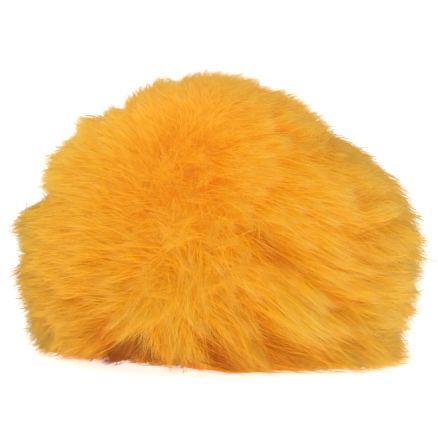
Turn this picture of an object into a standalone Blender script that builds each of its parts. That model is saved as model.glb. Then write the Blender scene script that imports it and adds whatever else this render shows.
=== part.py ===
"""Fur pompom: a squat ball of dyed fur, at rest on its flat spot.

Units are metres. +Z is up, -Y faces the viewer, and the origin lies on the surface that
the pompom rests on, under the middle of its box. The pompom is one solid: a lumpy ball of
dense pile, and the locks of hair that are rooted in it and taper to their tips.
"""

import math
import random

import bmesh
import bpy
from mathutils import Euler, Matrix, Vector, noise

# Size over the hair tips.
WIDTH = 0.100
DEPTH = 0.094
HEIGHT = 0.069

# The outside of the fur is a dome. It is widest at the waist, cone-like above it and
# boxy below it, where the floor ends it before its lower curve would close.
WAIST_HEIGHT = 0.025
UNDERSIDE_DROP = 0.037
UPPER_POWER = 1.62
LOWER_POWER = 3.0

# The left shoulder is the fuller one: between these shares of the way from the waist to
# the top, the dome's middle moves this far to the left.
SHOULDER_SHIFT = 0.003
SHOULDER_START = 0.35
SHOULDER_END = 0.65

# The ball rests more on its right: at the floor, its middle is this far to the right.
BASE_SHIFT = 0.0015

# Every hair points away from this spot inside the ball.
HAIR_CENTRE = Vector((-0.0068, 0.0, 0.038))

# Halving this many times places a point of the dome to within a few billionths of a metre.
HALVINGS = 24

# The dense pile: its reach as a share of the way from the hair centre to the dome, and the
# shallow lumps in its surface.
PILE_SHARE = 0.80
LUMP_DEPTH = 0.035
LUMPS_ACROSS = 2.6

# Lock roots are the faces of a ball that three subdivisions give 320 faces. It is turned,
# and its corners are shifted at random, so that the locks don't stand in rows.
ROOT_SUBDIVISIONS = 3
ROOT_TURN = Euler((0.31, 0.17, 0.53))
ROOT_JITTER = 0.14

# Locks: reach as a share of the way to the dome, sideways lean as a share of the root's
# width, sag as a share of length, and the shortest one that is worth growing.
LOCK_REACH = (0.95, 1.05)
LOCK_LEAN = 0.13
LOCK_SAG = 0.10
LEAST_LENGTH = 0.0025

# A lock under the ball ends this far above the floor.
FLOOR_GAP = 0.0002

# Along a lock: share of its length, and thickness as a share of its root.
LOCK_STATIONS = (
    {"along": 0.38, "thickness": 0.80},
    {"along": 0.74, "thickness": 0.48},
    {"along": 1.00, "thickness": 0.10},
)

SEED = 5
FUR_COLOUR = (0.871, 0.381, 0.024, 1.0)
FUR_ROUGHNESS = 0.75


def eased(share):
    """Follows the share from 0 to 1, but level at both ends."""
    share = min(max(share, 0.0), 1.0)
    return share * share * (3 - 2 * share)


def dome_fill(point):
    """How full the dome is at a point: under 1 inside it, 1 on its surface."""
    above_waist = point.z - WAIST_HEIGHT
    if above_waist < 0:
        middle = BASE_SHIFT * (above_waist / WAIST_HEIGHT) ** 2
        along = -above_waist / UNDERSIDE_DROP
        power = LOWER_POWER
    else:
        along = above_waist / (HEIGHT - WAIST_HEIGHT)
        shoulder = (along - SHOULDER_START) / (SHOULDER_END - SHOULDER_START)
        middle = -SHOULDER_SHIFT * eased(shoulder)
        power = UPPER_POWER
    across = math.hypot((point.x - middle) / (WIDTH / 2), point.y / (DEPTH / 2))
    return across**power + along**power


def dome_distance(direction):
    """Distance from the hair centre to the dome's surface, found by halving."""
    near, far = 0.0, WIDTH
    for _ in range(HALVINGS):
        middle = (near + far) / 2
        if dome_fill(HAIR_CENTRE + middle * direction) < 1:
            near = middle
        else:
            far = middle
    return near


def clear_scene():
    """Removes the objects that the scene starts with."""
    for thing in list(bpy.data.objects):
        bpy.data.objects.remove(thing)


def fur_material():
    """Golden-orange dyed fur."""
    material = bpy.data.materials.new("dyed_fur")
    material.use_nodes = True
    shader = material.node_tree.nodes["Principled BSDF"]
    shader.inputs["Base Color"].default_value = FUR_COLOUR
    shader.inputs["Roughness"].default_value = FUR_ROUGHNESS
    shader.inputs["Metallic"].default_value = 0.0
    return material


def random_vector(chance):
    """A vector that points any way, each part of it normally spread around 0."""
    return Vector(chance.gauss(0, 1) for _ in range(3))


def make_pile(mesh, chance):
    """Makes the lumpy ball of dense pile, with its flat spot at height 0."""
    bmesh.ops.create_icosphere(
        mesh,
        subdivisions=ROOT_SUBDIVISIONS,
        radius=1.0,
        matrix=ROOT_TURN.to_matrix().to_4x4(),
    )
    mesh.edges.ensure_lookup_table()
    spacing = mesh.edges[0].calc_length()
    for vert in mesh.verts:
        jitter = ROOT_JITTER * spacing * random_vector(chance)
        direction = (vert.co + jitter).normalized()
        lump = 1 + LUMP_DEPTH * noise.noise(LUMPS_ACROSS * direction)
        distance = PILE_SHARE * lump * dome_distance(direction)
        vert.co = HAIR_CENTRE + distance * direction
        vert.co.z = max(vert.co.z, 0.0)


def lock_length(root, outwards, reach):
    """Length of a lock from its root to the dome or, under the ball, to the floor."""
    end = reach * dome_distance(outwards)
    if outwards.z < 0:
        floor_distance = (HAIR_CENTRE.z - FLOOR_GAP) / -outwards.z
        end = min(end, floor_distance)
    return end - (root - HAIR_CENTRE).length


def grow_lock(mesh, face, chance):
    """Draws one lock out of a root face, tapering, leaning and sagging to its tip.

    A root face that lies on the floor, or too near it for a lock, stays bare.
    """
    root = face.calc_center_median()
    outwards = (root - HAIR_CENTRE).normalized()
    lean = LOCK_LEAN * math.sqrt(face.calc_area()) * random_vector(chance)
    length = lock_length(root, outwards, chance.uniform(*LOCK_REACH))
    if length < LEAST_LENGTH:
        return
    sag = Vector((0, 0, -LOCK_SAG * length * (1 - abs(outwards.z))))
    middle, thickness = root, 1.0
    for station in LOCK_STATIONS:
        along = station["along"]
        new_middle = root + along * (length * outwards + lean) + along**2 * sag
        ratio = station["thickness"] / thickness
        face = bmesh.ops.extrude_discrete_faces(mesh, faces=[face])["faces"][0]
        for vert in face.verts:
            vert.co = new_middle + ratio * (vert.co - middle)
        lift = max(0.0, FLOOR_GAP - min(vert.co.z for vert in face.verts))
        for vert in face.verts:
            vert.co.z += lift
        new_middle.z += lift
        middle, thickness = new_middle, station["thickness"]


def fit_to_size(mesh):
    """Scales the mesh to the size over the hair tips, and centres it over the origin."""
    places = [vert.co for vert in mesh.verts]
    low = Vector(min(place[i] for place in places) for i in range(3))
    high = Vector(max(place[i] for place in places) for i in range(3))
    size = high - low
    foot = Vector(((low.x + high.x) / 2, (low.y + high.y) / 2, low.z))
    scale = Vector((WIDTH / size.x, DEPTH / size.y, HEIGHT / size.z))
    bmesh.ops.translate(mesh, vec=-foot, verts=mesh.verts)
    bmesh.ops.transform(mesh, matrix=Matrix.Diagonal(scale).to_4x4(), verts=mesh.verts)


def make_pompom(material):
    """The whole pompom, as one object."""
    chance = random.Random(SEED)
    mesh = bmesh.new()
    make_pile(mesh, chance)
    mesh.normal_update()
    for face in list(mesh.faces):
        grow_lock(mesh, face, chance)
    fit_to_size(mesh)
    data = bpy.data.meshes.new("fur_pompom")
    mesh.to_mesh(data)
    mesh.free()
    data.materials.append(material)
    return bpy.data.objects.new("fur_pompom", data)


def main():
    """Builds the pompom in a collection of its own."""
    clear_scene()
    collection = bpy.data.collections.new("fur_pompom")
    bpy.context.scene.collection.children.link(collection)
    collection.objects.link(make_pompom(fur_material()))


main()
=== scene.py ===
"""Looks of the fur pompom: a dense coat of fine dyed hair around a ball of underwool.

Units are metres, in the part's own frame: +Z is up, -Y faces the viewer, and the origin
lies on the floor under the middle of the pompom.

The coat is made the way that fur grows. Wisps are spread evenly over the dome that the
hair tips reach. Each wisp belongs to a lock and to a tuft, leans with them, and is a
bundle of single hairs that stand apart at the root and draw together at the tip. Real
hair of this kind is 0.02 to 0.06 mm thick. It is drawn a few times coarser and much
sparser here, so that single hairs still show in the picture.
"""

import logging
import math
from dataclasses import dataclass
from enum import Enum
from typing import Any

import bpy
import numpy as np
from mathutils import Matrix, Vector


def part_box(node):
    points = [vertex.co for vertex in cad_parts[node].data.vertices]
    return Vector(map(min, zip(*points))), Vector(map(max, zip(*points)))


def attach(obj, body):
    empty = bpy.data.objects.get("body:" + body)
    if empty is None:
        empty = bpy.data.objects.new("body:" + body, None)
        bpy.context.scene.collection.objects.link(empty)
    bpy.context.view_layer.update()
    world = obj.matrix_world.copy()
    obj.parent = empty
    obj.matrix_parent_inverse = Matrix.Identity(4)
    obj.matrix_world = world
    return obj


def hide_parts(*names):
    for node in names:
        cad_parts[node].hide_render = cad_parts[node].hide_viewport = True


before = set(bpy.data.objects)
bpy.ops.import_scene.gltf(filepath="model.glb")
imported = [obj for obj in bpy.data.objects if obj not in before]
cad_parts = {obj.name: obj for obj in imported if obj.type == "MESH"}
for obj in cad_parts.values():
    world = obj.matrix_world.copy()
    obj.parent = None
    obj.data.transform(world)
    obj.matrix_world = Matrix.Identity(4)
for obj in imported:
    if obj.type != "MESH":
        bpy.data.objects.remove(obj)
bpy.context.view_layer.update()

LOG = logging.getLogger("fur_pompom")
CAD_NODE = "fur_pompom"
BODY = "root"
UV_MAP = "OFBake"
MM = 0.001
TINY = 1e-6


# ---------------------------------------------------------------- vectors and shares


def unit(vectors: np.ndarray) -> np.ndarray:
    """The same directions at length 1, but next to nothing stays next to nothing.

    Args:
        vectors: Array whose last axis holds the coordinates.

    Returns:
        An array of the same shape.
    """
    return vectors / np.maximum(np.linalg.norm(vectors, axis=-1, keepdims=True), TINY)


def dot(first: np.ndarray, second: np.ndarray) -> np.ndarray:
    """Dot products along the last axis, which is kept at length 1."""
    return np.sum(first * second, axis=-1, keepdims=True)


def angle_between(first: np.ndarray, second: np.ndarray) -> np.ndarray:
    """Angles between unit vectors in radians, with the last axis kept at length 1."""
    return np.arccos(np.clip(dot(first, second), -1.0, 1.0))


def across(vectors: np.ndarray, directions: np.ndarray) -> np.ndarray:
    """The part of each vector that is at right angles to a direction: v - d (v.d)."""
    return vectors - directions * dot(vectors, directions)


def polar_ways(polar: np.ndarray, around: np.ndarray) -> np.ndarray:
    """Unit vectors from two angles: (sin p cos a, sin p sin a, cos p).

    Args:
        polar: Angles from straight up, in radians.
        around: Bearings around it, in radians, of a shape that fits.

    Returns:
        An array with one more axis, for X, Y, Z.
    """
    polar, around = np.broadcast_arrays(polar, around)
    flat = np.sin(polar)
    return np.stack([flat * np.cos(around), flat * np.sin(around), np.cos(polar)], -1)


def between(low: float, high: float, share: np.ndarray) -> np.ndarray:
    """Low where the share is 0, high where it is 1, and straight in between."""
    return low + (high - low) * share


def ease(value: np.ndarray, low: float, high: float) -> np.ndarray:
    """Rises from 0 to 1 between two limits, level at both ends: 3t² - 2t³."""
    share = np.clip((value - low) / (high - low), 0.0, 1.0)
    return share * share * (3.0 - 2.0 * share)


@dataclass(frozen=True)
class SmoothNoise:
    """Smooth noise over space: the mean of many plane waves that cross at random.

    Its value is the sum of sin(k.p + phase) over the waves, scaled so that it spreads
    about 1 around 0. Tightness is how much more tightly than its wavelength a wave may
    be wound, from the least to the most.
    """

    wavelength: float
    seed: int
    waves: int = 32
    tightness: tuple[float, float] = (0.6, 1.5)

    def at(self, points: np.ndarray) -> np.ndarray:
        """The noise at each point.

        Args:
            points: Array whose last axis is X, Y, Z.

        Returns:
            One value a point, with the last axis kept at length 1.
        """
        chance = np.random.default_rng(self.seed)
        ways = unit(chance.normal(size=(self.waves, 3)))
        tightness = chance.uniform(*self.tightness, self.waves)
        phases = chance.uniform(0.0, 2.0 * math.pi, self.waves)
        angles = points @ (ways * tightness[:, None] * 2.0 * math.pi / self.wavelength).T
        waves = np.sin(angles + phases)
        return waves.sum(-1, keepdims=True) * math.sqrt(2.0 / self.waves)


# ---------------------------------------------------------------- meshes and pieces


def new_mesh(name: str, verts: np.ndarray, faces: list[np.ndarray]) -> bpy.types.Mesh:
    """Puts whole arrays of corners and faces into a new smooth-shaded mesh.

    Args:
        name: Name of the mesh.
        verts: (n, 3) corner places.
        faces: One (m, sides) array of corner numbers for each number of sides.

    Returns:
        The mesh.
    """
    corners = np.concatenate([part.reshape(-1) for part in faces]).astype(np.int32)
    sides = np.concatenate([np.full(len(part), part.shape[1], np.int32) for part in faces])
    starts = np.concatenate([[0], np.cumsum(sides)[:-1]]).astype(np.int32)
    mesh = bpy.data.meshes.new(name)
    mesh.vertices.add(len(verts))
    mesh.vertices.foreach_set("co", verts.astype(np.float32).reshape(-1))
    mesh.loops.add(len(corners))
    mesh.loops.foreach_set("vertex_index", corners)
    mesh.polygons.add(len(sides))
    mesh.polygons.foreach_set("loop_start", starts)
    mesh.polygons.foreach_set("loop_total", sides)
    mesh.polygons.foreach_set("use_smooth", np.ones(len(sides), bool))
    mesh.update(calc_edges=True)
    return mesh


def add_normals(mesh: bpy.types.Mesh, normals: np.ndarray) -> None:
    """Gives a mesh its own normals, kept as plain vectors.

    Angles to the mesh's smooth normals, the usual way to keep them, get lost at the tip
    of a slim needle, where the smooth normal points along the needle.

    Args:
        mesh: The mesh.
        normals: (n, 3) unit vectors, one for each vertex.
    """
    layer = mesh.attributes.new("custom_normal", "FLOAT_VECTOR", "POINT")
    layer.data.foreach_set("vector", normals.astype(np.float32).reshape(-1))


def add_uv(mesh: bpy.types.Mesh, places: np.ndarray) -> None:
    """Gives a mesh a UV map from one UV place a vertex.

    Args:
        mesh: The mesh.
        places: (n, 2) UV places, one for each vertex.
    """
    corners = np.empty(len(mesh.loops), np.int32)
    mesh.loops.foreach_get("vertex_index", corners)
    layer = mesh.uv_layers.new(name=UV_MAP)
    layer.data.foreach_set("uv", places[corners].astype(np.float32).reshape(-1))


def new_piece(mesh: bpy.types.Mesh, material: bpy.types.Material) -> bpy.types.Object:
    """Makes a piece of the pompom, which stands for the CAD solid.

    Fine hair scatters most light on into the coat instead of stopping it, so no piece
    keeps the lamps' light from the hair behind it.

    Args:
        mesh: Its mesh, in the part's frame.
        material: Its finish.

    Returns:
        The object, at the origin.
    """
    mesh.materials.append(material)
    piece = bpy.data.objects.new(mesh.name, mesh)
    bpy.context.scene.collection.objects.link(piece)
    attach(piece, BODY)
    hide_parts(CAD_NODE)
    piece.visible_shadow = False
    LOG.info("%s: %d faces", piece.name, len(mesh.polygons))
    return piece


# ---------------------------------------------------------------- shader nodes


def linear_colour(code: str) -> tuple[float, float, float, float]:
    """Turns an sRGB hex code into the linear colour that a shader takes.

    Args:
        code: Six hex digits after a #.

    Returns:
        Linear red, green and blue, and an alpha of 1.
    """
    shares = (int(code[i : i + 2], 16) / 255 for i in (1, 3, 5))
    red, green, blue = (
        s / 12.92 if s <= 0.04045 else ((s + 0.055) / 1.055) ** 2.4 for s in shares
    )
    return red, green, blue, 1.0


def new_finish(name: str) -> tuple[bpy.types.Material, bpy.types.NodeTree, bpy.types.Node]:
    """Starts a material.

    Args:
        name: Name of the material.

    Returns:
        The material, its node tree and its Principled shader.
    """
    material = bpy.data.materials.new(name)
    material.use_nodes = True
    tree = material.node_tree
    return material, tree, tree.nodes["Principled BSDF"]


def set_inputs(tree: bpy.types.NodeTree, node: bpy.types.Node, inputs: dict[Any, Any]) -> None:
    """Fills in the sockets of a shader node.

    Args:
        tree: The material's node tree.
        node: The node.
        inputs: Values by the name or number of the socket. An output socket makes a link.
    """
    for key, value in inputs.items():
        socket = node.inputs[key]
        if isinstance(value, bpy.types.NodeSocket):
            tree.links.new(value, socket)
        else:
            socket.default_value = value


def add_node(
    tree: bpy.types.NodeTree,
    kind: str,
    settings: dict[str, Any] | None = None,
    inputs: dict[Any, Any] | None = None,
) -> bpy.types.Node:
    """Adds one shader node.

    Args:
        tree: The material's node tree.
        kind: The node's type name.
        settings: Properties of the node.
        inputs: Values for its sockets, as set_inputs takes them.

    Returns:
        The node.
    """
    node = tree.nodes.new(kind)
    for key, value in (settings or {}).items():
        setattr(node, key, value)
    set_inputs(tree, node, inputs or {})
    return node


def add_ramp(
    tree: bpy.types.NodeTree, along: bpy.types.NodeSocket, stops: tuple[tuple[float, str], ...]
) -> bpy.types.NodeSocket:
    """Adds a colour ramp.

    Args:
        tree: The material's node tree.
        along: Socket that the ramp follows.
        stops: Places from 0 to 1 along the ramp, in order, each with its hex code.

    Returns:
        The ramp's colour socket.
    """
    node = add_node(tree, "ShaderNodeValToRGB", inputs={"Fac": along})
    elements = node.color_ramp.elements
    elements[0].position, elements[1].position = stops[0][0], stops[-1][0]
    for place, _ in stops[1:-1]:
        elements.new(place)
    for element, (_, code) in zip(elements, stops):
        element.color = linear_colour(code)
    return node.outputs["Color"]


def mix_colours(
    tree: bpy.types.NodeTree,
    share: bpy.types.NodeSocket | float,
    first: bpy.types.NodeSocket,
    second: bpy.types.NodeSocket,
    blend: str = "MIX",
) -> bpy.types.NodeSocket:
    """Adds a mix of two colours.

    Args:
        tree: The material's node tree.
        share: How much of the second is blended in, from 0 to 1.
        first: The first colour's socket.
        second: The second colour's socket.
        blend: Name of the way that they are blended.

    Returns:
        The mixed colour's socket.
    """
    settings = {"data_type": "RGBA", "blend_type": blend}
    node = add_node(tree, "ShaderNodeMix", settings, {0: share})
    first_socket, second_socket = (socket for socket in node.inputs if socket.type == "RGBA")
    tree.links.new(first, first_socket)
    tree.links.new(second, second_socket)
    return next(socket for socket in node.outputs if socket.type == "RGBA")


# ---------------------------------------------------------------- the form


@dataclass(frozen=True)
class Feature:
    """A tuft or a valley of the coat, placed as the viewer sees it.

    Bearing is the angle in the picture around the crown, 0 to the right and 90 up. Turn
    is the angle away from the viewer: 0 at the crown, 90 on the outline. Across and along
    are its spread in degrees, around the crown and out from it. Reach is how far hair
    ends outside the dome (above 0) or inside it (below 0) in millimetres. Shade is painted
    into the hair's tone: above 0 it is painted shade, which tones the hair deeper, and
    below 0 it is painted light, which tones it paler. Hair tones run from 0 to 1, so that a
    shade above 1 is deep over a wider patch.
    """

    name: str
    bearing: float
    turn: float
    across: float
    along: float
    reach: float
    shade: float = 0.0


OUTLINE = (
    Feature("full right flank", 0.0, 90.0, 10.0, 25.0, 0.5),
    Feature("full right shoulder", 44.0, 90.0, 10.0, 25.0, 1.2),
    Feature("tuft right of the top", 66.0, 90.0, 7.0, 20.0, 0.6),
    Feature("dip left of the top", 96.0, 90.0, 3.0, 20.0, -1.6),
    Feature("tuft left of the top", 105.0, 90.0, 3.0, 20.0, 1.3),
    Feature("notch beside the top tuft", 127.5, 90.0, 3.0, 20.0, -5.5),
    Feature("notch between the left tufts", 137.0, 90.0, 2.5, 20.0, -2.5),
    Feature("tuft between the notches", 131.0, 90.0, 2.5, 20.0, 1.5),
    Feature("upper left tuft", 145.0, 90.0, 4.5, 20.0, 2.2),
    Feature("small notch at upper left", 151.0, 90.0, 2.5, 18.0, -2.0),
    Feature("left tuft", 163.0, 90.0, 6.0, 20.0, 0.8),
    Feature("notch at left", 180.0, 90.0, 3.5, 20.0, -6.0),
    Feature("left lobe", 187.0, 90.0, 4.0, 20.0, 2.2),
    Feature("small notch at left", 198.0, 90.0, 4.0, 18.0, -2.6),
    Feature("slim lower left", 213.0, 90.0, 6.0, 20.0, -1.2),
    Feature("lower left corner", 231.0, 88.0, 4.0, 15.0, 3.4),
    Feature("lower right corner", 317.0, 74.0, 5.5, 20.0, 7.4),
    Feature("slim lower right", 329.0, 90.0, 7.0, 20.0, -2.5),
)

# The shade column is painted light and shade. Above 0 it is painted shade in the valleys, hollows,
# partings and undercuts, along the bottom and at the dimmer rims. Below 0 it is painted light on the
# tufts, the upper left and the left rim. Reach is the coat's real form.
FRONT = (
    Feature("valley right of the crown", 325.5, 32.5, 6.0, 7.0, -3.5, 0.37),
    Feature("small valley above it", 337.0, 29.0, 2.5, 6.0, -2.0, 0.13),
    Feature("tuft below the valley", 315.0, 41.5, 4.5, 7.0, 2.2, -0.35),
    Feature("valley under the crown", 281.0, 44.5, 5.0, 6.0, -3.5, 0.38),
    Feature("hollow under the crown", 295.0, 40.0, 8.0, 7.0, -1.5, 0.18),
    Feature("small hollow left of it", 252.0, 24.0, 2.5, 3.0, -1.6, 0.20),
    Feature("valley at lower right", 302.0, 44.0, 2.5, 6.0, -2.5, 0.25),
    Feature("undercut at lower right", 308.0, 55.0, 7.0, 6.0, -2.0, 0.20),
    Feature("tuft at lower right", 324.0, 58.0, 4.0, 9.0, 1.6, -0.10),
    Feature("valley at right", 326.0, 58.0, 2.5, 10.0, -2.5, 0.25),
    Feature("upper valley at right", 341.0, 56.0, 2.5, 8.0, -2.0, 0.25),
    Feature("top valley at right", 350.0, 55.0, 2.2, 8.0, -2.0, 0.22),
    Feature("undercut at lower left", 255.0, 57.0, 9.0, 10.0, -6.0, 1.3),
    Feature("undercut at far left", 241.0, 72.0, 9.0, 9.0, -3.0, 0.85),
    Feature("tuft at lower left", 242.0, 37.0, 5.0, 5.0, 1.2, -0.10),
    Feature("tuft at the bottom", 268.0, 32.0, 4.0, 4.0, 1.2, -0.15),
    Feature("deeper lower left", 230.0, 51.0, 14.0, 9.0, 0.0, 0.35),
    Feature("deeper bottom", 286.0, 53.0, 26.0, 6.0, 0.0, 0.39),
    Feature("orange low left rim", 216.0, 78.0, 16.0, 16.0, 0.0, 0.20),
    Feature("orange right shoulder", 48.0, 84.0, 24.0, 14.0, 0.0, 0.14),
    Feature("pale upper left", 135.0, 50.0, 20.0, 20.0, 0.0, -0.12),
    Feature("pale left rim", 178.0, 82.0, 32.0, 22.0, 0.0, -0.20),
    Feature("parting at the crown", 150.0, 5.0, 3.0, 3.0, -1.6, 0.13),
    Feature("parting above the crown", 91.0, 9.0, 2.0, 3.0, -1.0, 0.11),
    Feature("parting left of the crown", 190.0, 12.0, 2.5, 3.0, -1.2, 0.14),
    Feature("parting at upper left", 148.0, 14.0, 2.0, 2.5, -0.8, 0.10),
)


@dataclass(frozen=True)
class Dome:
    """The outside of the fur, the same dome as in the part's source, with its tufts.

    Its section is |across|^p + |up|^p = 1, with a low power above the waist, which is
    cone-like, and a high one below it, which is boxy. The left shoulder is the fuller,
    and the ball rests more on its right. Shoulder range is where the dome's middle moves
    over to that shoulder, as shares of the way from the waist to the top.
    """

    half_width: float
    half_depth: float
    height: float
    waist_height: float = 25.0 * MM
    underside_drop: float = 37.0 * MM
    upper_power: float = 1.62
    lower_power: float = 3.0
    shoulder_shift: float = 3.0 * MM
    shoulder_range: tuple[float, float] = (0.35, 0.65)
    base_shift: float = 1.5 * MM
    hair_centre: tuple[float, float, float] = (-6.8 * MM, 0.0, 38.0 * MM)

    # The crown, where the hair parts, faces the camera: it is tilted up as much.
    crown: tuple[float, float, float] = (0.0, -0.9945, 0.1045)

    # A search this many half widths long, halved this often, ends within 0.0001 mm of
    # the dome.
    search_reach: float = 4.0
    halvings: int = 22

    @property
    def centre(self) -> np.ndarray:
        """The spot inside the ball that every hair points away from."""
        return np.array(self.hair_centre)

    @property
    def axes(self) -> tuple[np.ndarray, np.ndarray, np.ndarray]:
        """The axes that features are placed by.

        Returns:
            Unit vectors to the crown, to the viewer's right and up the picture.
        """
        crown = unit(np.array(self.crown))
        right = np.array([1.0, 0.0, 0.0])
        return crown, right, unit(np.cross(right, -crown))

    @property
    def crown_way(self) -> np.ndarray:
        """Direction from the hair centre to the crown."""
        return self.axes[0]

    def way(self, bearing: float, turn: float) -> np.ndarray:
        """The direction of a place on the front.

        Args:
            bearing: Degrees around the crown, as a feature has them.
            turn: Degrees away from the crown.

        Returns:
            A unit vector.
        """
        crown, right, up = self.axes
        around, out = math.radians(bearing), math.radians(turn)
        aside = math.cos(around) * right + math.sin(around) * up
        return math.cos(out) * crown + math.sin(out) * aside

    def fill(self, points: np.ndarray) -> np.ndarray:
        """How full the dome is at each point: under 1 inside it, 1 on its surface.

        Args:
            points: Array whose last axis is X, Y, Z.

        Returns:
            One value a point, with the last axis kept at length 1.
        """
        x, y, z = points[..., :1], points[..., 1:2], points[..., 2:]
        above = z - self.waist_height
        up = np.clip(above / (self.height - self.waist_height), 0.0, None)
        down = np.clip(-above / self.underside_drop, 0.0, None)
        shoulder = -self.shoulder_shift * ease(up, *self.shoulder_range)
        base = self.base_shift * (down * self.underside_drop / self.waist_height) ** 2
        outwards = np.hypot((x - shoulder - base) / self.half_width, y / self.half_depth)
        upper = outwards**self.upper_power + up**self.upper_power
        lower = outwards**self.lower_power + down**self.lower_power
        return np.where(above > 0.0, upper, lower)

    def plain_reach(self, directions: np.ndarray) -> np.ndarray:
        """Distance from the hair centre to the smooth dome, found by halving.

        Args:
            directions: Unit vectors.

        Returns:
            One distance a direction, with the last axis kept at length 1.
        """
        near = np.zeros(directions.shape[:-1] + (1,))
        far = np.full_like(near, self.search_reach * self.half_width)
        for _ in range(self.halvings):
            middle = (near + far) / 2.0
            inside = self.fill(self.centre + middle * directions) < 1.0
            near = np.where(inside, middle, near)
            far = np.where(inside, far, middle)
        return near

    def relief(self, directions: np.ndarray, features: tuple[Feature, ...]) -> np.ndarray:
        """How far some tufts and valleys move the surface and shade the hair.

        Each is a bell curve, exp(-(around/across)² - (out/along)²), where around and out
        are the angles to its middle around the crown and away from it.

        Args:
            directions: Unit vectors.
            features: The tufts and valleys to count.

        Returns:
            A distance in metres and a painted shade for each direction, side by side.
        """
        crown, right, up = self.axes
        turn = angle_between(directions, crown)
        bearing = np.arctan2(dot(directions, up), dot(directions, right))
        total = np.zeros(directions.shape[:-1] + (2,))
        for feature in features:
            apart = bearing - math.radians(feature.bearing)
            around = (np.mod(apart + math.pi, 2.0 * math.pi) - math.pi) * np.sin(turn)
            around = around / math.radians(feature.across)
            out = (turn - math.radians(feature.turn)) / math.radians(feature.along)
            bell = np.exp(-(around**2) - out**2)
            total += bell * np.array([feature.reach * MM, feature.shade])
        return total

    def reach(self, directions: np.ndarray) -> np.ndarray:
        """Distance from the hair centre to the dome with its tufts and valleys."""
        return self.plain_reach(directions) + self.relief(directions, OUTLINE + FRONT)[..., :1]


# ---------------------------------------------------------------- how the hair lies


@dataclass(frozen=True)
class HairFlow:
    """Which way the hair leans as it grows, as a field over all directions.

    Leans are angles in radians between a hair's root and its tip, seen from the hair
    centre. Comb range is where the comb takes hold, and front range where it and the sag
    fade out, both in radians from the crown. The sideways combs have their full share
    where a direction's x, to its side, reaches side_full. The left comb sets in as -z
    passes left_range, and the full sag as z passes sag_range.
    """

    comb: float = 0.42
    comb_range: tuple[float, float] = (0.10, 0.90)
    front_range: tuple[float, float] = (0.8, 1.5)
    right_comb: tuple[float, float, float] = (0.97, 0.0, -0.12)
    left_comb: tuple[float, float, float] = (-0.97, 0.0, -0.25)
    right_share: float = 0.55
    left_share: float = 0.5
    side_full: float = 0.5
    left_range: tuple[float, float] = (-0.1, 0.4)

    sag: float = 0.05
    low_sag: float = 0.02
    sag_range: tuple[float, float] = (-0.5, 0.3)

    swirl: float = 0.07
    swirl_wavelength: float = 1.3
    swirl_seed: int = 40

    streak_around: float = 0.11
    streak_along: float = 0.16
    trace_steps: int = 5
    trace_share: float = 0.3

    def combed(self, directions: np.ndarray, crown: np.ndarray) -> np.ndarray:
        """The way that the comb went, at right angles to each direction.

        It went away from the crown, but more nearly level over the right side and over
        the lower left one.

        Args:
            directions: Unit vectors from the hair centre.
            crown: Unit vector to the crown.

        Returns:
            Vectors at most 1 long.
        """
        away = unit(-across(crown, directions))
        x, z = directions[..., :1], directions[..., 2:]
        right = self.right_share * ease(x, 0.0, self.side_full)
        left = self.left_share * ease(-x, 0.0, self.side_full) * ease(-z, *self.left_range)
        way = (1.0 - right - left) * away
        way = way + right * np.array(self.right_comb) + left * np.array(self.left_comb)
        return across(way, directions)

    def lean(self, directions: np.ndarray, crown: np.ndarray) -> np.ndarray:
        """How far, in radians, a hair's tip lies from its root, and which way.

        The comb's strength rises with the angle from the crown. The hair also sags under
        its own weight, least where it lies on the floor. Both fade out before the
        outline, where the hair stands straight out from the ball. A smooth swirl turns
        the hair this way and that all over.

        Args:
            directions: Unit vectors from the hair centre to the hair tips.
            crown: Unit vector to the crown.

        Returns:
            Vectors at right angles to the directions.
        """
        turn = angle_between(directions, crown)
        in_front = 1.0 - ease(turn, *self.front_range)
        strength = self.comb * ease(turn, *self.comb_range)
        sag = between(self.low_sag, self.sag, ease(directions[..., 2:], *self.sag_range))
        down = sag * np.array([0.0, 0.0, -1.0])
        seeds = (self.swirl_seed + axis for axis in range(3))
        swirl = [SmoothNoise(self.swirl_wavelength, seed).at(directions) for seed in seeds]
        lean = in_front * (strength * self.combed(directions, crown) + down)
        return across(lean + self.swirl * np.concatenate(swirl, -1), directions)

    def streaks(self, directions: np.ndarray, crown: np.ndarray, seed: int) -> np.ndarray:
        """Noise in long streaks that follow the comb, as the locks do.

        Each direction is first traced back along the comb, nearly to the crown, in steps
        of trace_share of the way that is left. The value is smooth noise over the bearing
        found there, laid on a circle, and over the angle from the crown, which counts for
        little, by streak_along, so that each patch is long.

        Args:
            directions: Unit vectors from the hair centre.
            crown: Unit vector to the crown.
            seed: Seed of the noise.

        Returns:
            One value a direction, spread about 1 around 0, with the last axis at length 1.
        """
        back = directions
        for _ in range(self.trace_steps):
            step = self.trace_share * angle_between(back, crown)
            back = unit(back - step * unit(self.combed(back, crown)))
        right = unit(np.cross(crown, np.array([0.0, 0.0, 1.0])))
        up = np.cross(right, crown)
        aside = unit(np.concatenate([dot(back, right), dot(back, up)], -1))
        turn = angle_between(directions, crown)
        ring = np.sqrt(np.sin(turn))
        places = np.concatenate([ring * aside, self.streak_along * turn], -1)
        return SmoothNoise(self.streak_around, seed).at(places)


@dataclass(frozen=True)
class Moves:
    """What clumps do to each wisp: pull its tip, lean it, raise it and change its tone."""

    pull: np.ndarray
    lean: np.ndarray
    rise: np.ndarray
    tone: np.ndarray


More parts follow.
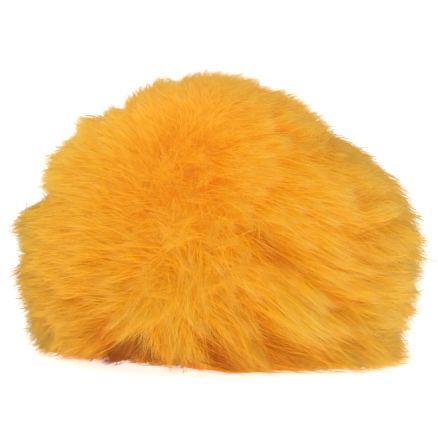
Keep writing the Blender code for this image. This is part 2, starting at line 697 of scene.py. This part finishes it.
@dataclass(frozen=True)
class Clumps:
    """Clumps of one size that the hair gathers into, with gaps between them.

    A clump draws the tips of its wisps towards its middle, by the share pull. Its wisps
    lean, reach and are toned alike, by random amounts as large as lean, rise and tone.
    Those at its edge reach less far, by fall, and look deeper, by gap_tone, times their
    place in the clump: (distance / radius)² - 1/2, which is about 0 on average. That
    deeper tone is painted shade for the gaps between clumps, and the paler middles are
    painted light. The radius is that of the clump's share of the ball, and distances
    count up to edge_limit radii.
    """

    count: int
    jitter: float
    pull: float
    lean: float
    rise: float
    fall: float
    tone: float
    gap_tone: float
    seed: int
    edge_limit: float = 1.2

    def around(self, middles: np.ndarray, ways: np.ndarray) -> Moves:
        """Gives every wisp to the nearest clump, and works out how that moves it.

        Args:
            middles: (clumps, 3) directions of the clumps' middles.
            ways: (wisps, 3) directions of the wisps.

        Returns:
            The moves, one row a wisp.
        """
        chance = np.random.default_rng(self.seed)
        owner = np.argmax(ways @ middles.T, axis=1)
        aside = middles[owner] - ways
        radius = math.sqrt(4.0 / self.count)
        edge = np.linalg.norm(aside, axis=1, keepdims=True) / radius
        edge = np.clip(edge, 0.0, self.edge_limit) ** 2 - 0.5
        lean = self.lean * chance.normal(size=(self.count, 3))[owner]
        rise = self.rise * chance.normal(size=(self.count, 1))[owner]
        tone = self.tone * chance.normal(size=(self.count, 1))[owner]
        # Painted shade at the clump's edge and painted light at its middle, by gap_tone.
        return Moves(self.pull * aside, lean, rise - self.fall * edge, tone - self.gap_tone * edge)


LOCKS = Clumps(
    count=170,
    jitter=0.35,
    pull=0.20,
    lean=0.06,
    rise=0.006,
    fall=0.018,
    tone=0.025,
    gap_tone=0.0,
    seed=21,
)

TUFTS = Clumps(
    count=1500,
    jitter=0.35,
    pull=0.40,
    lean=0.045,
    rise=0.008,
    fall=0.016,
    tone=0.03,
    gap_tone=0.08,
    seed=22,
)


@dataclass(frozen=True)
class Wisps:
    """Every wisp of the coat, one row of each array a wisp.

    Root and tip are directions from the hair centre, reach is how far the tip ends as a
    share of the dome, tone runs from 0, deeply dyed, to 1, pale, with painted light and
    shade in it, and openness is how widely its tips spread. Variety is how much its hairs
    differ in tone.
    """

    root: np.ndarray
    tip: np.ndarray
    reach: np.ndarray
    tone: np.ndarray
    openness: np.ndarray
    variety: np.ndarray

    def of(self, rows: np.ndarray) -> "Wisps":
        """The wisps with these numbers, where a number may come more than once."""
        arrays = (self.root, self.tip, self.reach, self.tone, self.openness, self.variety)
        return Wisps(*(array[rows] for array in arrays))


# ---------------------------------------------------------------- the hair


class Side(Enum):
    """The five parts that the coat is divided into, so that each mesh stays light."""

    CROWN = "crown"
    FRONT = "front"
    RIGHT = "right"
    BACK = "back"
    LEFT = "left"


@dataclass(frozen=True)
class HairKind:
    """One of the kinds of hair that a wisp is made of.

    A wisp has in_wisp such hairs. Root_from is how far a root stands from the wisp's root
    towards its tip, as a share. Stations are the places along the hair that have a ring
    of corners, as shares of its length, with the tip last, and station_thickness is the
    hair's relative thickness there. A hair is at most longest, as a share of its wisp's
    reach, and up to shortening shorter. Root and tip stray from the wisp's by their
    spreads, the bend between them by curl, and the tone by tone_spread.
    """

    in_wisp: int
    root_from: float
    stations: tuple[float, ...]
    station_thickness: tuple[float, ...]
    thickness: float
    shortening: float
    longest: float
    root_spread: float
    tip_spread: float
    curl: float
    tone_spread: float


GUARD_HAIR = HairKind(
    in_wisp=5,
    root_from=0.0,
    stations=(0.0, 0.60, 1.0),
    station_thickness=(1.0, 0.85),
    thickness=0.17 * MM,
    shortening=0.06,
    longest=1.03,
    root_spread=1.2 * MM,
    tip_spread=0.75 * MM,
    curl=0.5 * MM,
    tone_spread=0.22,
)

DOWN_HAIR = HairKind(
    in_wisp=20,
    root_from=0.45,
    stations=(0.0, 1.0),
    station_thickness=(1.0,),
    thickness=0.20 * MM,
    shortening=0.045,
    longest=0.99,
    root_spread=1.3 * MM,
    tip_spread=0.85 * MM,
    curl=0.0,
    tone_spread=0.08,
)


@dataclass(frozen=True)
class Strands:
    """Meshed hairs, as whole arrays: corners, their normals and map places, and faces."""

    verts: np.ndarray
    normals: np.ndarray
    places: np.ndarray
    quads: np.ndarray
    triangles: np.ndarray

    def with_more(self, more: "Strands") -> "Strands":
        """These strands followed by more, whose faces count on from these corners.

        Args:
            more: The strands to add.

        Returns:
            Both in one.
        """
        start = len(self.verts)
        return Strands(
            np.concatenate([self.verts, more.verts]),
            np.concatenate([self.normals, more.normals]),
            np.concatenate([self.places, more.places]),
            np.concatenate([self.quads, more.quads + start]),
            np.concatenate([self.triangles, more.triangles + start]),
        )


@dataclass(frozen=True)
class Coat:
    """The whole coat of hair: how many hairs, and how they stand, lean and end.

    Reaches and rises are shares of the way from the hair centre to the dome, leans and
    ranges are angles in radians, and tones run from 0, deeply dyed, to 1, pale, with
    painted light and shade in them.
    """

    dome: Dome
    flow: HairFlow = HairFlow()
    locks: Clumps = LOCKS
    tufts: Clumps = TUFTS
    kinds: tuple[HairKind, ...] = (GUARD_HAIR, DOWN_HAIR)
    seed: int = 5

    # Spreading evenly: the grid that the dome's area is summed on, the least area of a
    # cell, so that the sum never stands still, and how much the underside counts.
    area_rows: int = 361
    area_columns: int = 181
    least_area: float = 1e-12
    under_share: float = 0.35

    # Wisps: how many, and how unevenly they stand, lean, reach, are toned and open out.
    wisps: int = 7300
    wisp_jitter: float = 0.35
    wisp_lean: float = 0.05
    wisp_rise: float = 0.012
    wisp_tone: float = 0.04
    openness: tuple[float, float] = (0.5, 1.3)

    # The hair is messier at the crown, and at one spot below it at this bearing and turn.
    # Each mess fades over its range.
    crown_mess: float = 0.13
    crown_range: tuple[float, float] = (0.1, 0.8)
    messy_spot: tuple[float, float] = (283.0, 38.0)
    spot_mess: float = 0.08
    spot_range: tuple[float, float] = (0.1, 0.6)

    # Towards the upper left, as z - calm_slope * x passes its range, the clumps count for
    # less, by the share calm. Single wisps end more unevenly there, by calm_rise, and
    # the share calm_variety is left of how their hairs differ in tone.
    calm: float = 0.85
    calm_slope: float = 0.9
    calm_range: tuple[float, float] = (-0.2, 0.6)
    calm_rise: float = 1.7
    calm_variety: float = 0.35

    # Towards the outline, clumps raise the hair less, by this share.
    rim_calm: float = 0.6
    rim_range: tuple[float, float] = (1.1, 1.5)

    # Streaks along the comb.
    streak_rise: float = 0.010
    streak_tone: float = 0.05
    rise_seed: int = 60
    tone_seed: int = 61

    # Tone: it pales from the crown to the flanks, as painted light: paler for the sheen on
    # the flanks, deeper for the look down into the coat at the crown. The painted shade and
    # light of tufts and valleys is read this share of the lean back from the tip, and has a
    # limit. Clumps, wisps and streaks add odd tones, which deepen a wisp by so much at most,
    # and which shrink below the steady tone, down to the least share.
    tone_crown: float = 0.32
    tone_flank: float = 0.75
    tone_range: tuple[float, float] = (0.2, 1.5)
    seen_share: float = 0.2
    deepest_shade: float = 1.2
    deepest_odd: float = 0.10
    steady_tone: float = 0.3
    least_odd: float = 0.25

    # Hairs: where their roots stand, and where and how high they bend.
    root_share: float = 0.84
    bend_way_share: float = 0.35
    bend_share: float = 0.93

    # A hair is paler than its wisp by its kind's spread times (|normal| - paler_from),
    # and less so where the wisp's own tone is below paler_tone.
    paler_from: float = 0.4
    paler_tone: float = 0.4
    tone_ends: tuple[float, float] = (0.03, 0.97)

    # The mat of hair on the floor: the heights in it where hairs end, and how softly
    # they bend into it.
    mat_range: tuple[float, float] = (0.4 * MM, 1.8 * MM)
    mat_softness: float = 0.6 * MM

    # Needles: their sides, uneven turn and uneven thickness, how much their normals keep
    # of the needle's own side, and how far down the rest of a normal may point.
    hair_sides: int = 3
    uneven_turn: float = 0.05
    uneven_thickness: tuple[float, float] = (0.7, 1.25)
    normal_own: float = 0.12
    normal_down: float = -0.6

    # So that no face of the map is flat, a needle's sides lie this far apart on it, and
    # the first corner lies this far up.
    map_step: float = 0.005
    map_lift: float = 0.01

    def spread_ways(self, count: int, jitter: float, seed: int) -> np.ndarray:
        """Directions whose hair tips stand evenly over the dome.

        A golden-angle spiral is even in two shares from 0 to 1. The first is looked up
        in the running total of the dome's area from its top down, the second in that
        total around each level. The area in a step of direction is r² sin(polar) times
        the slope's sqrt(1 + (r'/r)²). Under the ball it counts for less.

        Args:
            count: How many directions.
            jitter: Random shift, as a share of the spacing.
            seed: Seed of the shifts.

        Returns:
            (count, 3) unit vectors.
        """
        chance = np.random.default_rng(seed)
        rows = self.area_rows
        polar = np.linspace(0.0, math.pi, rows)[:, None]
        around = np.linspace(0.0, 2.0 * math.pi, self.area_columns)[None, :]
        ways = polar_ways(polar, around)
        reach = self.dome.plain_reach(ways)[..., 0]
        slope = np.gradient(reach, polar[:, 0], axis=0) / reach
        area = reach**2 * np.sin(polar) * np.sqrt(1.0 + slope**2)
        below = self.dome.centre[2] + reach * ways[..., 2] < 0.0
        area = area * np.where(below, self.under_share, 1.0) + self.least_area
        level_total = np.cumsum(area.sum(1))
        level_total = (level_total - level_total[0]) / (level_total[-1] - level_total[0])
        ring_total = np.cumsum(area, axis=1)
        ring_total = (ring_total - ring_total[:, :1]) / (ring_total[:, -1:] - ring_total[:, :1])
        number = np.arange(count) + 0.5
        level = np.interp(number / count, level_total, np.arange(rows))
        row = np.minimum(level.astype(int), rows - 1)
        ring_share = (number * (math.sqrt(5.0) - 1.0) / 2.0) % 1.0
        row_start = np.arange(rows)[:, None]
        flat_total = (ring_total + row_start).reshape(-1)
        flat_around = (around + 2.0 * math.pi * row_start).reshape(-1)
        turned = np.interp(ring_share + row, flat_total, flat_around) - 2.0 * math.pi * row
        tilt = np.interp(level, np.arange(rows), polar[:, 0])
        spacing = math.sqrt(4.0 * math.pi / count)
        return unit(polar_ways(tilt, turned) + jitter * spacing * chance.normal(size=(count, 3)))

    def grow_wisps(self) -> Wisps:
        """Places every wisp: where it stands, which way it leans and how far it reaches.

        Returns:
            The wisps.
        """
        chance = np.random.default_rng(self.seed)
        crown = self.dome.crown_way
        ways = self.spread_ways(self.wisps, self.wisp_jitter, self.seed)
        locks, tufts = (
            clumps.around(self.spread_ways(clumps.count, clumps.jitter, clumps.seed), ways)
            for clumps in (self.locks, self.tufts)
        )
        upper_left = ways[:, 2:] - self.calm_slope * ways[:, :1]
        ruffled = 1.0 - self.calm * ease(upper_left, *self.calm_range)

        tip = unit(ways + ruffled * (locks.pull + tufts.pull))
        turn = angle_between(tip, crown)
        at_crown = 1.0 - ease(turn, *self.crown_range)
        from_spot = angle_between(tip, self.dome.way(*self.messy_spot))
        at_spot = 1.0 - ease(from_spot, *self.spot_range)
        mess = self.wisp_lean + self.crown_mess * at_crown + self.spot_mess * at_spot
        lean = self.flow.lean(tip, crown) + ruffled * (locks.lean + tufts.lean)
        lean = across(lean + mess * chance.normal(size=tip.shape), tip)

        combed = (1.0 - at_crown) * ruffled
        inner = 1.0 - self.rim_calm * ease(turn, *self.rim_range)
        uneven = self.wisp_rise * between(self.calm_rise, 1.0, ruffled)
        reach = 1.0 + ruffled * (locks.rise + tufts.rise) * inner
        reach = reach + uneven * chance.normal(size=(self.wisps, 1))
        reach = reach + self.streak_rise * combed * self.flow.streaks(tip, crown, self.rise_seed)

        # Painted light and shade go into the tone: the paling from crown to flank, and the shade column of
        # the front features, read near each tip.
        seen = unit(tip - self.seen_share * lean)
        tone = between(self.tone_crown, self.tone_flank, ease(turn, *self.tone_range))
        tone = tone - np.minimum(self.dome.relief(seen, FRONT)[..., 1:], self.deepest_shade)
        odd = locks.tone + ruffled * tufts.tone
        odd = odd + self.wisp_tone * chance.normal(size=(self.wisps, 1))
        odd = odd + self.streak_tone * combed * self.flow.streaks(tip, crown, self.tone_seed)
        odd_share = np.clip(tone / self.steady_tone, self.least_odd, 1.0)
        tone = tone + np.maximum(odd, -self.deepest_odd) * odd_share

        openness = chance.uniform(*self.openness, (self.wisps, 1))
        variety = between(self.calm_variety, 1.0, ruffled)
        return Wisps(unit(tip - lean), tip, reach, tone, openness, variety)

    def sides(self, wisps: Wisps) -> dict[Side, np.ndarray]:
        """Divides the wisps into five parts of equal number.

        The highest fifth is the crown. The others are ranked by their bearing around
        the ball, from the front left corner on, and cut into quarters.

        Args:
            wisps: The wisps.

        Returns:
            The wisp numbers of each part.
        """
        by_height = np.argsort(-wisps.tip[:, 2])
        cut = len(by_height) // len(Side)
        crown, rest = by_height[:cut], by_height[cut:]
        bearing = np.arctan2(wisps.tip[rest, 1], wisps.tip[rest, 0])
        front_left = -0.75 * math.pi
        ranked = rest[np.argsort((bearing - front_left) % (2.0 * math.pi))]
        quarters = (Side.FRONT, Side.RIGHT, Side.BACK, Side.LEFT)
        return {Side.CROWN: crown, **dict(zip(quarters, np.array_split(ranked, len(quarters))))}

    def hair_mesh(self, name: str, wisps: Wisps, seed: int) -> bpy.types.Mesh:
        """All hairs of some wisps as one mesh, with blended normals.

        Args:
            name: Name of the mesh.
            wisps: The wisps to build.
            seed: Seed of this mesh's random draws.

        Returns:
            The mesh.
        """
        chance = np.random.default_rng(seed)
        first, *others = [self.strands(kind, wisps, chance) for kind in self.kinds]
        for more in others:
            first = first.with_more(more)
        mesh = new_mesh(name, first.verts, [first.quads, first.triangles])
        add_normals(mesh, first.normals)
        add_uv(mesh, first.places)
        return mesh

    def strands(self, kind: HairKind, wisps: Wisps, chance: np.random.Generator) -> Strands:
        """The hairs of one kind, each a closed needle around its own curve.

        Each hair follows a quadratic curve: (1-t)² root + 2t(1-t) bend + t² tip. Near the
        floor it is laid over, so that it ends within the mat of hair that lies there: its
        height h becomes mat + soft ln(1 + exp((h - mat) / soft)).

        Args:
            kind: The kind of hair.
            wisps: The wisps that hold them.
            chance: Source of the random draws.

        Returns:
            The meshed hairs.
        """
        count = len(wisps.root) * kind.in_wisp
        mine = wisps.of(np.repeat(np.arange(len(wisps.root)), kind.in_wisp))
        dome = self.dome
        root_off = kind.root_spread * chance.normal(size=(count, 3))
        tip_off = kind.tip_spread * mine.openness * chance.normal(size=(count, 3))
        reach = mine.reach * (kind.longest - kind.shortening * chance.uniform(size=(count, 1)))
        root_way = unit(mine.root + kind.root_from * (mine.tip - mine.root))
        bend_way = unit(root_way + self.bend_way_share * (mine.tip - root_way))
        root = dome.centre + self.root_share * dome.reach(root_way) * root_way + root_off
        bend = dome.centre + self.bend_share * reach * dome.reach(bend_way) * bend_way
        bend = bend + (root_off + tip_off) / 2.0 + kind.curl * chance.normal(size=(count, 3))
        tip = dome.centre + reach * dome.reach(mine.tip) * mine.tip + tip_off
        t = np.array(kind.stations)[None, :, None]
        path = (1 - t) ** 2 * root[:, None] + 2 * t * (1 - t) * bend[:, None] + t**2 * tip[:, None]
        mat, soft = chance.uniform(*self.mat_range, (count, 1)), self.mat_softness
        path[..., 2] = mat + soft * np.logaddexp(0.0, (path[..., 2] - mat) / soft)
        paler = kind.tone_spread * (np.abs(chance.normal(size=(count, 1))) - self.paler_from)
        paler = paler * mine.variety * np.clip(mine.tone / self.paler_tone, 0.0, 1.0)
        return self.needles(kind, path, np.clip(mine.tone + paler, *self.tone_ends), chance)

    def needles(
        self, kind: HairKind, path: np.ndarray, tone: np.ndarray, chance: np.random.Generator
    ) -> Strands:
        """Wraps a closed needle around each hair's path, with one flat side outwards.

        Each station but the last has a ring of corners, at the path plus radius times
        (cos(turn) first + sin(turn) second), and the last is the needle's point. The
        normals lean from the hair's own side towards the outside of the ball, as the
        light in real fur is scattered from hair to hair until the coat looks soft.

        Args:
            kind: The kind of hair.
            path: (hairs, stations, 3) places along the hairs.
            tone: (hairs, 1) tones of the hairs.
            chance: Source of the random draws.

        Returns:
            The meshed hairs, with the map that colour follows: tone across, root to tip up.
        """
        count, sides, rings = len(path), self.hair_sides, len(kind.stations) - 1
        along = unit(np.gradient(path, axis=1))
        chord = unit(path[:, -1] - path[:, 0])
        outwards = unit(path[:, -1] - self.dome.centre)
        uneven = self.uneven_turn * chance.normal(size=(count, 3))
        aside = unit(np.cross(chord, outwards + uneven))
        first = unit(np.cross(along, aside[:, None]))
        second = np.cross(along, first)
        turn = 2.0 * math.pi * np.arange(sides) / sides
        around = (
            np.cos(turn)[:, None] * first[:, :rings, None]
            + np.sin(turn)[:, None] * second[:, :rings, None]
        )
        thick = kind.thickness * chance.uniform(*self.uneven_thickness, (count, 1)) / 2.0
        radius = thick * np.array(kind.station_thickness)
        ring = path[:, :rings, None] + radius[:, :, None, None] * around
        verts = np.concatenate([ring.reshape(count, rings * sides, 3), path[:, -1:]], 1)
        own = np.concatenate([around.reshape(count, rings * sides, 3), along[:, -1:]], 1)
        outwards = unit(verts - self.dome.centre)
        outwards[..., 2] = np.maximum(outwards[..., 2], self.normal_down)
        normals = unit(self.normal_own * own + outwards)

        side = np.arange(sides)
        after = (side + 1) % sides
        start = sides * np.arange(rings - 1)[:, None]
        quads = np.stack([start + side, start + after, start + after + sides, start + side + sides], -1)
        last = sides * (rings - 1)
        points = np.stack([last + side, last + after, np.full(sides, rings * sides)], -1)
        cap = side[::-1][None]
        offset = (rings * sides + 1) * np.arange(count)[:, None, None]

        u = np.concatenate([np.tile(tone + self.map_step * (side - 1), rings), tone], 1)
        v = np.repeat(np.array(kind.stations), [sides] * rings + [1]) + np.zeros_like(u)
        v[:, 0] = self.map_lift
        return Strands(
            verts.reshape(-1, 3),
            normals.reshape(-1, 3),
            np.stack([u, v], -1).reshape(-1, 2),
            (quads.reshape(-1, 4) + offset).reshape(-1, 4),
            (np.concatenate([points, cap]) + offset).reshape(-1, 3),
        )


@dataclass(frozen=True)
class Underwool:
    """The ball of dense short wool that the hairs stand in."""

    dome: Dome
    share: float = 0.88
    lump: float = 0.012
    lump_wavelength: float = 0.35
    lump_seed: int = 7
    levels: int = 64
    columns: int = 96
    floor_gap: float = 2.0 * MM

    def mesh(self) -> bpy.types.Mesh:
        """The dome drawn in to a share of its reach, lumpy, closed, flat under the ball.

        A grid of polar angle and bearing gives the directions, and each point lies at
        share times reach times (1 + lump times noise). One point closes each pole.

        Returns:
            The mesh.
        """
        polar = np.linspace(0.0, math.pi, self.levels + 1)[1:-1, None]
        around = np.linspace(0.0, 2.0 * math.pi, self.columns, endpoint=False)[None, :]
        ways = polar_ways(polar, around).reshape(-1, 3)
        ways = np.concatenate([ways, [[0.0, 0.0, 1.0], [0.0, 0.0, -1.0]]])
        lumps = 1.0 + self.lump * SmoothNoise(self.lump_wavelength, self.lump_seed).at(ways)
        verts = self.dome.centre + self.share * lumps * self.dome.reach(ways) * ways
        verts[:, 2] = np.maximum(verts[:, 2], self.floor_gap)
        rings = self.levels - 1
        column = np.arange(self.columns)
        after = (column + 1) % self.columns
        start = self.columns * np.arange(rings - 1)[:, None]
        below = start + self.columns
        quads = np.stack([start + column, below + column, below + after, start + after], -1)
        top, bottom = rings * self.columns, rings * self.columns + 1
        last = self.columns * (rings - 1)
        upper = np.stack([np.full(self.columns, top), column, after], -1)
        lower = np.stack([np.full(self.columns, bottom), last + after, last + column], -1)
        return new_mesh("underwool", verts, [quads.reshape(-1, 4), np.concatenate([upper, lower])])


# ---------------------------------------------------------------- the finishes


@dataclass(frozen=True)
class DyedHair:
    """Rabbit-like hair, dyed in the piece and dried loose.

    Each hair is glossy but so fine that a coat of them looks matt and soft. The dye is
    deepest at the root, where it shows as orange between the wisps, and the tips, which
    the sun and the dye bath leave paler, give the coat its golden bloom. The deep roots
    also stand in for the shade down in the coat, as painted shade, since no hair casts a
    shadow. Low tones are multiplied by painted shade, deep orange in the hollows and brown
    in the valleys, where little light gets in.
    """

    # Deeper at the roots: partly the dye, partly painted shade down in the coat, where no hair casts a
    # shadow.
    root_deep: str = "#EA8004"
    root_pale: str = "#EC9004"
    middle_deep: str = "#F09803"
    middle_pale: str = "#F3BD20"
    tip_deep: str = "#F2AE0A"
    tip_pale: str = "#F2D67A"
    root_end: float = 0.35
    middle_end: float = 0.76

    # Painted shade: what the dye is multiplied by from tone 0 up, to the end of the
    # valleys: brown in the valleys, deep orange in the hollows, and nothing above.
    valley: str = "#8E6C7C"
    hollow: str = "#E2B890"
    unshaded: str = "#FFFFFF"
    hollow_end: float = 0.13
    valley_end: float = 0.30

    roughness: float = 0.7
    specular: float = 0.05
    sheen: float = 0.26
    sheen_tint: str = "#FFEAA0"

    def dye(
        self, tree: bpy.types.NodeTree, along: bpy.types.NodeSocket, root: str, middle: str, tip: str
    ) -> bpy.types.NodeSocket:
        """The colour of one tone of hair, from root to tip.

        Args:
            tree: The material's node tree.
            along: Socket that runs from 0 at the root to 1 at the tip.
            root: Hex code at the root.
            middle: Hex code in the middle.
            tip: Hex code at the tip.

        Returns:
            The colour's socket.
        """
        stops = ((self.root_end, root), (self.middle_end, middle), (1.0, tip))
        return add_ramp(tree, along, stops)

    def material(self) -> bpy.types.Material:
        """The material, whose colour follows the hair's own map.

        Returns:
            The material.
        """
        material, tree, shader = new_finish("dyed_rabbit_hair_painted_shade")
        place = add_node(tree, "ShaderNodeUVMap", {"uv_map": UV_MAP})
        parts = add_node(tree, "ShaderNodeSeparateXYZ", inputs={"Vector": place.outputs["UV"]})
        along, tone = parts.outputs["Y"], parts.outputs["X"]
        deep = self.dye(tree, along, self.root_deep, self.middle_deep, self.tip_deep)
        pale = self.dye(tree, along, self.root_pale, self.middle_pale, self.tip_pale)
        stops = ((0.0, self.valley), (self.hollow_end, self.hollow), (self.valley_end, self.unshaded))
        shade = add_ramp(tree, tone, stops)
        # The tone that mixes deep and pale dye carries painted light and shade as well as the dye's own
        # tone.
        dyed = mix_colours(tree, tone, deep, pale)
        inputs = {
            "Base Color": mix_colours(tree, 1.0, dyed, shade, "MULTIPLY"),
            "Roughness": self.roughness,
            "Specular IOR Level": self.specular,
            "Sheen Weight": self.sheen,
            "Sheen Tint": linear_colour(self.sheen_tint),
        }
        set_inputs(tree, shader, inputs)
        return material


@dataclass(frozen=True)
class FeltedUnderwool:
    """Short wool at the skin, dyed deepest, felted into small lumps and quite matt."""

    # Deep and pale are partly the dye and partly painted shade for the gaps in the coat, where no hair
    # casts a shadow.
    deep: str = "#BC6808"
    pale: str = "#D07C0C"
    deep_end: float = 0.12
    pale_start: float = 0.42
    fleck: float = 0.6 * MM
    fleck_detail: float = 3.0
    lump: float = 3.0 * MM
    lump_detail: float = 2.0
    bump: float = 0.6
    roughness: float = 0.9

    def material(self) -> bpy.types.Material:
        """The material: coarse and fine noise mixed for colour, the fine one as bump.

        Returns:
            The material.
        """
        material, tree, shader = new_finish("felted_underwool")
        place = add_node(tree, "ShaderNodeTexCoord").outputs["Object"]
        flecks, lumps = (
            add_node(
                tree, "ShaderNodeTexNoise", inputs={"Vector": place, "Scale": 1.0 / size, "Detail": detail}
            ).outputs["Fac"]
            for size, detail in ((self.fleck, self.fleck_detail), (self.lump, self.lump_detail))
        )
        both = add_node(tree, "ShaderNodeMath", {"operation": "MULTIPLY"}, {0: flecks, 1: lumps})
        stops = ((self.deep_end, self.deep), (self.pale_start, self.pale))
        relief = {"Strength": self.bump, "Distance": self.fleck / 2.0, "Height": flecks}
        inputs = {
            "Base Color": add_ramp(tree, both.outputs[0], stops),
            "Normal": add_node(tree, "ShaderNodeBump", inputs=relief).outputs["Normal"],
            "Roughness": self.roughness,
        }
        set_inputs(tree, shader, inputs)
        return material


# ---------------------------------------------------------------- the studio


def placed(name: str, data: bpy.types.ID, place: Vector, back: Vector) -> bpy.types.Object:
    """Puts a lamp or a camera into the scene.

    Args:
        name: Name of the object.
        data: The lamp or camera.
        place: Where it stands.
        back: The direction that it turns its back to.

    Returns:
        The object.
    """
    holder = bpy.data.objects.new(name, data)
    holder.location = place
    holder.rotation_euler = (-back).to_track_quat("-Z", "Y").to_euler()
    bpy.context.scene.collection.objects.link(holder)
    return holder


@dataclass(frozen=True)
class SoftLamp:
    """A far, soft lamp that faces the pompom.

    Azimuth is in degrees to the right of the camera, elevation in degrees above the
    floor, strength in watts a square metre, and softness is how wide the lamp looks from
    the pompom, in degrees.
    """

    name: str
    azimuth: float
    elevation: float
    strength: float
    softness: float = 55.0

    def build(self) -> None:
        """Adds the lamp to the scene."""
        lamp = bpy.data.lights.new(self.name, "SUN")
        lamp.energy = self.strength
        lamp.angle = math.radians(self.softness)
        turn, tilt = math.radians(self.azimuth), math.radians(self.elevation)
        flat = math.cos(tilt)
        back = Vector((flat * math.sin(turn), -flat * math.cos(turn), math.sin(tilt)))
        placed(self.name, lamp, back, back)


@dataclass(frozen=True)
class Studio:
    """Pale floor, soft light all round, and the camera at the photograph's angle."""

    elevation: float = 6.0
    distance: float = 0.70
    picture_width: float = 106.3 * MM
    aim: tuple[float, float, float] = (0.0002, 0.0, 0.0329)
    sensor: float = 36.0

    # The floor is a sheet of pale paper on a light table. It shows white, but throws
    # next to no orange light from the pompom back.
    floor_colour: str = "#E8E8E8"
    floor_size: float = 8.0
    floor_roughness: float = 0.9
    floor_specular: float = 0.1
    floor_glow: float = 0.45

    # White light from all round, the lamps, and how often light passes on between hairs.
    world_colour: str = "#FFFFFF"
    world_strength: float = 0.49
    lamps: tuple[SoftLamp, ...] = (
        SoftLamp("key_light", 5.0, 31.0, 0.70),
        SoftLamp("left_light", -62.0, 12.0, 1.18),
        SoftLamp("right_light", 60.0, 18.0, 1.12),
        SoftLamp("back_light", 180.0, 55.0, 1.45),
    )
    bounces: int = 8

    def floor(self) -> None:
        """A large plain floor, level with the surface that the pompom rests on."""
        half = self.floor_size / 2.0
        corners = half * np.array([[-1, -1, 0], [1, -1, 0], [1, 1, 0], [-1, 1, 0]], float)
        mesh = new_mesh("floor", corners, [np.array([[0, 1, 2, 3]])])
        material, tree, shader = new_finish("light_table_paper")
        inputs = {
            "Base Color": linear_colour(self.floor_colour),
            "Roughness": self.floor_roughness,
            "Specular IOR Level": self.floor_specular,
            "Emission Color": linear_colour(self.floor_colour),
            "Emission Strength": self.floor_glow,
        }
        set_inputs(tree, shader, inputs)
        mesh.materials.append(material)
        floor = bpy.data.objects.new("floor", mesh)
        bpy.context.scene.collection.objects.link(floor)

    def lights(self) -> None:
        """White surroundings, and the soft lamps: in front, at both sides and behind."""
        world = bpy.data.worlds.new("studio")
        world.use_nodes = True
        tree = world.node_tree
        inputs = {"Color": linear_colour(self.world_colour), "Strength": self.world_strength}
        set_inputs(tree, tree.nodes["Background"], inputs)
        bpy.context.scene.world = world
        for lamp in self.lamps:
            lamp.build()
        bpy.context.scene.cycles.diffuse_bounces = self.bounces

    def camera(self) -> None:
        """A long lens at the photograph's height, centred as the photograph is."""
        camera = bpy.data.cameras.new("camera")
        camera.sensor_width = self.sensor
        camera.lens = self.sensor * self.distance / self.picture_width
        tilt = math.radians(self.elevation)
        back = Vector((0.0, -math.cos(tilt), math.sin(tilt)))
        place = Vector(self.aim) + self.distance * back
        bpy.context.scene.camera = placed("camera", camera, place, back)
        bpy.context.scene.view_settings.view_transform = "Standard"

    def build(self) -> None:
        """Sets up the whole studio."""
        self.floor()
        self.lights()
        self.camera()


# ---------------------------------------------------------------- the whole scene


def main() -> None:
    """Builds the pompom and its studio."""
    logging.basicConfig(level=logging.INFO)
    low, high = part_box(CAD_NODE)
    dome = Dome((high.x - low.x) / 2.0, (high.y - low.y) / 2.0, high.z)
    coat = Coat(dome)
    wisps = coat.grow_wisps()
    hair = DyedHair().material()
    for number, (side, rows) in enumerate(coat.sides(wisps).items()):
        mesh = coat.hair_mesh(f"hair_{side.value}", wisps.of(rows), coat.seed + 1 + number)
        new_piece(mesh, hair)
    new_piece(Underwool(dome).mesh(), FeltedUnderwool().material())
    Studio().build()


if __name__ == "__main__":
    main()
